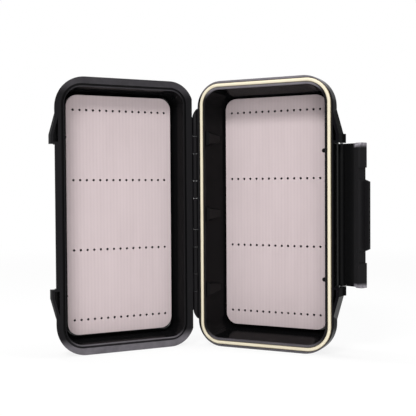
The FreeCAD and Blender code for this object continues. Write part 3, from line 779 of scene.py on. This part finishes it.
class PadTree:
    """The geometry tree that makes a slit and punched foam pad in tray coordinates."""

    SIZES = {
        "Width": 80.0 * MM,
        "Length": 171.0 * MM,
        "Thickness": 5.0 * MM,
        "Corner": 8.5 * MM,
        "Hole Radius": 0.9 * MM,
        "Hole Pitch": 5.0 * MM,
        "Row Pitch": 50.0 * MM,
        "Slit Width": 0.028 * MM,
        "Slit Clearance": 1.0 * MM,
        "End Margin": 1.6 * MM,
    }
    COUNTS = {"Holes Across": 15, "Hole Rows": 4}
    CORNER_STEPS = 10
    HOLE_SIDES = 18
    LONG_SLIT_MARGINS = 8.0
    WELD = 0.001 * MM

    def __init__(self) -> None:
        """Builds the tree once, for both pads."""
        self.group = bpy.data.node_groups.new("slit_foam_pad", "GeometryNodeTree")
        face = self.group.interface
        for name, value in self.SIZES.items():
            socket = face.new_socket(name, in_out="INPUT", socket_type="NodeSocketFloat")
            socket.default_value = value
        for name, value in self.COUNTS.items():
            socket = face.new_socket(name, in_out="INPUT", socket_type="NodeSocketInt")
            socket.default_value = value
        face.new_socket("Foam", in_out="INPUT", socket_type="NodeSocketMaterial")
        face.new_socket("Pad", in_out="OUTPUT", socket_type="NodeSocketGeometry")
        self.tree = Tree(self.group)
        self.source = self.group.nodes.new("NodeGroupInput")
        self.build()

    def size(self, name: str) -> Socket:
        """A named input of the group.

        Args:
            name: the input's name.

        Returns:
            Its socket.
        """
        return self.source.outputs[name]

    def times(self, first: Any, second: Any) -> Socket:
        """The product of two numbers.

        Args:
            first: a number or its socket.
            second: the other.

        Returns:
            The product's socket.
        """
        return self.tree.maths("MULTIPLY", first, second)

    def less(self, first: Any, second: Any) -> Socket:
        """The first number less the second.

        Args:
            first: a number or its socket.
            second: what is taken away.

        Returns:
            The difference's socket.
        """
        return self.tree.maths("SUBTRACT", first, second)

    def box(self, wide: Any, tall: Any) -> Socket:
        """A rectangular outline.

        Args:
            wide: its width.
            tall: its length.

        Returns:
            The outline as a curve.
        """
        node = self.tree.add(
            "GeometryNodeCurvePrimitiveQuadrilateral", {"Width": wide, "Height": tall}, mode="RECTANGLE")
        return node.outputs[0]

    def on_grid(self, outline: Socket, wide: Any, tall: Any, across: Any, rows: Any) -> Socket:
        """An outline repeated on the points of a centred grid.

        Args:
            outline: the outline to repeat.
            wide: the grid's width.
            tall: the grid's length.
            across: points across.
            rows: points along.

        Returns:
            The outlines as real curves.
        """
        grid = self.tree.add(
            "GeometryNodeMeshGrid",
            {"Size X": wide, "Size Y": tall, "Vertices X": across, "Vertices Y": rows})
        spread = self.tree.add(
            "GeometryNodeInstanceOnPoints", {"Points": grid.outputs["Mesh"], "Instance": outline})
        return self.tree.add(
            "GeometryNodeRealizeInstances", {"Geometry": spread.outputs[0]}).outputs[0]

    def outlines(self) -> list[Socket]:
        """The pad's edge, its punched holes and its knife slits, none of which cross.

        Returns:
            The outlines as curves.
        """
        edge = self.tree.add(
            "GeometryNodeFilletCurve",
            {"Curve": self.box(self.size("Width"), self.size("Length")), "Count": self.CORNER_STEPS,
             "Radius": self.size("Corner")}, mode="POLY")
        across = self.size("Holes Across")
        rows = self.size("Hole Rows")
        wide = self.times(self.size("Hole Pitch"), self.less(across, 1.0))
        tall = self.times(self.size("Row Pitch"), self.less(rows, 1.0))
        ring = self.tree.add(
            "GeometryNodeCurvePrimitiveCircle",
            {"Resolution": self.HOLE_SIDES, "Radius": self.size("Hole Radius")}, mode="RADIUS")
        holes = self.on_grid(ring.outputs[0], wide, tall, across, rows)
        slit = self.size("Slit Width")
        shorter = self.times(self.size("End Margin"), self.LONG_SLIT_MARGINS)
        whole = self.less(self.size("Length"), shorter)
        between = self.on_grid(
            self.box(slit, whole), self.tree.maths("ADD", wide, self.size("Hole Pitch")), 0.0,
            self.tree.maths("ADD", across, 1.0), 1)
        keep = self.tree.maths("ADD", self.size("Hole Radius"), self.size("Slit Clearance"))
        part = self.less(self.size("Row Pitch"), self.times(keep, 2.0))
        middle = self.on_grid(
            self.box(slit, part), wide, self.less(tall, self.size("Row Pitch")), across,
            self.less(rows, 1.0))
        room = self.times(self.less(self.size("Length"), tall), 0.5)
        tail = self.less(self.less(room, keep), self.size("End Margin"))
        reach = self.tree.maths("ADD", tall, self.tree.maths("ADD", self.times(keep, 2.0), tail))
        ends = self.on_grid(self.box(slit, tail), wide, reach, across, 2)
        return [edge.outputs[0], holes, between, middle, ends]

    def build(self) -> None:
        """Fills the outlines, gives the face its thickness and its foam."""
        tree = self.tree
        curves = tree.add("GeometryNodeJoinGeometry")
        for outline in self.outlines():
            self.group.links.new(outline, curves.inputs[0])
        face = tree.add("GeometryNodeFillCurve", {"Curve": curves.outputs[0]}, mode="TRIANGLES")
        back = tree.add(
            "GeometryNodeTransform",
            {"Geometry": face.outputs[0], "Translation": tree.add(
                "ShaderNodeCombineXYZ", {"Z": self.times(self.size("Thickness"), -1.0)}).outputs[0]})
        up = tree.add("ShaderNodeCombineXYZ", {"Z": 1.0}).outputs[0]
        front = tree.add(
            "GeometryNodeExtrudeMesh",
            {"Mesh": back.outputs[0], "Offset": up, "Offset Scale": self.size("Thickness"),
             "Individual": False}, mode="FACES")
        under = tree.add("GeometryNodeFlipFaces", {"Mesh": back.outputs[0]})
        joined = tree.add("GeometryNodeJoinGeometry")
        self.group.links.new(under.outputs[0], joined.inputs[0])
        self.group.links.new(front.outputs["Mesh"], joined.inputs[0])
        welded = tree.add(
            "GeometryNodeMergeByDistance", {"Geometry": joined.outputs[0], "Distance": self.WELD})
        flat = tree.add(
            "GeometryNodeSetShadeSmooth", {"Geometry": welded.outputs[0], "Shade Smooth": False})
        whole = tree.add("GeometryNodeRealizeInstances", {"Geometry": flat.outputs[0]})
        dressed = tree.add(
            "GeometryNodeSetMaterial",
            {"Geometry": whole.outputs[0], "Material": self.size("Foam")})
        target = self.group.nodes.new("NodeGroupOutput")
        self.group.links.new(dressed.outputs[0], target.inputs["Pad"])


@dataclass
class FoamPad:
    """One foam pad: a block with knife slits along it and rows of punched holes."""

    half: Half
    width: float
    length: float
    front_level: float
    shift_across: float
    shift_along: float
    thickness: float = 5.0 * MM

    @property
    def name(self) -> str:
        """The pad's name."""
        return f"{self.half.value}_foam_pad"

    def build(self, tree: PadTree, foam: bpy.types.Material, place: TrayPlace) -> None:
        """Makes the pad's mesh from the tree and stands it in its tray.

        Args:
            tree: the pads' geometry tree.
            foam: the foam's material.
            place: where the tray stands.
        """
        carrier = bpy.data.objects.new("pad_carrier", bpy.data.meshes.new("pad_carrier"))
        bpy.context.scene.collection.objects.link(carrier)
        modifier = carrier.modifiers.new("slit_foam_pad", "NODES")
        modifier.node_group = tree.group
        values = {
            "Width": self.width,
            "Length": self.length,
            "Thickness": self.thickness,
            "Foam": foam,
        }
        for item in tree.group.interface.items_tree:
            if item.item_type == "SOCKET" and item.in_out == "INPUT" and item.name in values:
                modifier[item.identifier] = values[item.name]
        bpy.context.view_layer.update()
        graph = bpy.context.evaluated_depsgraph_get()
        mesh = bpy.data.meshes.new_from_object(carrier.evaluated_get(graph), depsgraph=graph)
        carrier.modifiers.remove(modifier)
        bpy.data.objects.remove(carrier)
        mesh.name = self.name
        marks = mesh.attributes.new(PAD_PLACE, "FLOAT_VECTOR", "POINT")
        for number, vertex in enumerate(mesh.vertices):
            marks.data[number].vector = vertex.co
        shift = Vector((self.shift_across, self.shift_along, -self.front_level))
        mesh.transform(place.matrix() @ Matrix.Translation(shift))
        pad = bpy.data.objects.new(self.name, mesh)
        bpy.context.scene.collection.objects.link(pad)
        if not mesh.materials:
            mesh.materials.append(foam)
        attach(pad, self.half.value)
        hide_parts(f"{self.half.value}_foam")
        LOG.info("%s: %d faces", self.name, len(mesh.polygons))


@dataclass
class FoamPads:
    """Both pads, with sizes read from the CAD pads that they stand for."""

    layout: CaseLayout
    levels: dict[Half, float] = field(
        default_factory=lambda: {Half.BASE: 25.5 * MM, Half.LID: 12.8 * MM})
    side: dict[Half, float] = field(
        default_factory=lambda: {Half.BASE: -0.6 * MM, Half.LID: -0.2 * MM})
    lift: dict[Half, float] = field(
        default_factory=lambda: {Half.BASE: 1.0 * MM, Half.LID: 0.4 * MM})

    def outline(self, half: Half) -> tuple[float, float]:
        """The pad's width and length, measured on its CAD solid.

        Args:
            half: which pad.

        Returns:
            Width and length.
        """
        place = self.layout.place(half).matrix().inverted()
        mesh = bpy.data.objects[f"{half.value}_foam"].data
        points = [place @ vertex.co for vertex in mesh.vertices]
        wide = max(p.x for p in points) - min(p.x for p in points)
        tall = max(p.y for p in points) - min(p.y for p in points)
        return wide, tall

    def build(self) -> None:
        """Makes both pads."""
        tree = PadTree()
        for half in Half:
            wide, tall = self.outline(half)
            pad = FoamPad(half, wide, tall, self.levels[half], self.side[half], self.lift[half])
            foam = FoamFinish().build(f"{half.value}_foam")
            pad.build(tree, foam, self.layout.place(half))


# The CAD pieces that keep their own shape


@dataclass
class MouldedCase:
    """The shells, seal, latch, pins and sheets, which take a finish each."""

    layout: CaseLayout
    effects: SharedEffects
    nodes: dict[str, bpy.types.Object]

    def dress(self, node: str, material: bpy.types.Material) -> None:
        """Gives one piece its finish.

        Args:
            node: the piece's name.
            material: its finish.
        """
        slots = self.nodes[node].data.materials
        if len(slots) == 0:
            slots.append(material)
        for number in range(len(slots)):
            slots[number] = material
        LOG.info("%s: %s", node, material.name)

    def build(self) -> None:
        """Dresses every piece."""
        for half in Half:
            place = self.layout.place(half)
            finish = SHELL_FINISHES[half].build(
                f"{half.value}_plastic", self.effects, place.rim_point, place.mouth)
            self.dress(f"{half.value}_shell", finish)
        self.dress("gasket", SealFinish().build(self.effects))
        self.dress("latch", LatchFinish().build(self.effects))
        steel = PinFinish().build()
        for node in ("hinge_pin", "latch_pin"):
            self.dress(node, steel)
        sheet = AdhesiveFinish().build()
        for node in ("base_foam_tape", "lid_foam_tape"):
            self.dress(node, sheet)


# The studio


def seen_directly(tree: Tree) -> Socket:
    """Tells rays that the camera, gloss or glass sends from those that carry light.

    Args:
        tree: the material's or the world's tree.

    Returns:
        1 for the first kind and 0 for the second.
    """
    path = tree.add("ShaderNodeLightPath")
    seen = tree.maths("MAXIMUM", path.outputs["Is Camera Ray"], path.outputs["Is Glossy Ray"])
    return tree.maths("MAXIMUM", seen, path.outputs["Is Transmission Ray"])


@dataclass(frozen=True)
class Lamp:
    """One soft box."""

    name: str
    place: tuple[float, float, float]
    aim: tuple[float, float, float]
    wide: float
    tall: float
    power: float

    def build(self) -> None:
        """Hangs the lamp and turns it to what it lights."""
        data = bpy.data.lights.new(self.name, "AREA")
        data.shape = "RECTANGLE"
        data.size = self.wide
        data.size_y = self.tall
        data.energy = self.power
        lamp = bpy.data.objects.new(self.name, data)
        bpy.context.scene.collection.objects.link(lamp)
        lamp.location = self.place
        way = Vector(self.aim) - Vector(self.place)
        lamp.rotation_euler = way.to_track_quat("-Z", "Y").to_euler()


@dataclass
class Studio:
    """The floor, the white surroundings, the lamps and the camera."""

    sensor_width: float = 36.0
    focal_pixels: float = 800.0
    picture_pixels: float = 416.0
    camera_place: tuple[float, float, float] = (0.21523, -0.53627, 0.11689)
    camera_turn: tuple[float, float, float] = (88.55608, 0.35822, 25.95946)
    floor_reach: float = 30.0
    floor_sides: int = 96
    floor_drop: float = 0.2 * MM
    floor_colour: Colour = (0.86, 0.86, 0.86)
    floor_glow: float = 0.86
    full_glow: Span = (0.3, 1.1)
    ambient: float = 0.24
    lamps: tuple[Lamp, ...] = (
        Lamp("key", (0.10, -1.10, 1.10), (-0.02, 0.0, 0.10), 0.45, 0.26, 12.4),
        Lamp("side_fill", (0.55, -1.05, 0.45), (-0.04, 0.0, 0.10), 0.45, 0.35, 2.8),
        Lamp("overhead_strip", (-0.06, 0.03, 1.10), (-0.06, 0.02, 0.10), 0.95, 0.14, 9.0),
    )

    def floor(self) -> None:
        """A pale round floor that takes the shadow and meets the white background."""
        angles = [2 * math.pi * step / self.floor_sides for step in range(self.floor_sides)]
        ring = [
            (self.floor_reach * math.cos(angle), self.floor_reach * math.sin(angle), -self.floor_drop)
            for angle in angles
        ]
        mesh = bpy.data.meshes.new("studio_floor")
        mesh.from_pydata(ring, [], [tuple(range(self.floor_sides))])
        floor = bpy.data.objects.new("studio_floor", mesh)
        bpy.context.scene.collection.objects.link(floor)
        material, tree, shader = new_material("pale_floor", self.floor_colour)
        tree.feed(shader, {"Roughness": 0.9, "Specular IOR Level": 0.0})
        glow = tree.add("ShaderNodeEmission", {"Color": (1.0, 1.0, 1.0, 1.0), "Strength": 1.0})
        away = tree.vector("LENGTH", object_place(tree), out="Value")
        glowing = tree.ramp(away, *self.full_glow, self.floor_glow, 1.0)
        share = tree.maths("MULTIPLY", seen_directly(tree), glowing)
        mixed = tree.add(
            "ShaderNodeMixShader", {0: share, 1: shader.outputs[0], 2: glow.outputs[0]})
        tree.feed(material.node_tree.nodes["Material Output"], {"Surface": mixed.outputs[0]})
        mesh.materials.append(material)

    def surroundings(self) -> None:
        """White where the camera, gloss and glass see it, and a plain grey light elsewhere."""
        world = bpy.data.worlds.new("studio")
        bpy.context.scene.world = world
        world.use_nodes = True
        tree = Tree(world.node_tree)
        strength = tree.ramp(seen_directly(tree), 0.0, 1.0, self.ambient, 1.0)
        tree.feed(
            world.node_tree.nodes["Background"],
            {"Color": (1.0, 1.0, 1.0, 1.0), "Strength": strength})

    def camera(self) -> None:
        """The camera, at the photograph's place and turn."""
        data = bpy.data.cameras.new("camera")
        data.sensor_width = self.sensor_width
        data.lens = self.sensor_width * self.focal_pixels / self.picture_pixels
        data.clip_start = 0.01
        data.clip_end = 200.0
        camera = bpy.data.objects.new("camera", data)
        bpy.context.scene.collection.objects.link(camera)
        camera.location = self.camera_place
        camera.rotation_euler = Euler([math.radians(angle) for angle in self.camera_turn], "XYZ")
        bpy.context.scene.camera = camera

    def build(self) -> None:
        """Sets up the whole studio."""
        bpy.context.scene.view_settings.view_transform = "Standard"
        self.floor()
        self.surroundings()
        for lamp in self.lamps:
            lamp.build()
        self.camera()
        LOG.info("studio: %d lamps", len(self.lamps))


def main() -> None:
    """Builds the fly box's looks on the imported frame, in order."""
    logging.basicConfig(level=logging.INFO, format="%(name)s %(message)s")
    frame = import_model()
    layout = CaseLayout.from_record(frame["joints"])
    effects = SharedEffects()
    MouldedCase(layout, effects, frame["nodes"]).build()
    FoamPads(layout).build()
    Studio().build()


if __name__ == "__main__":
    main()
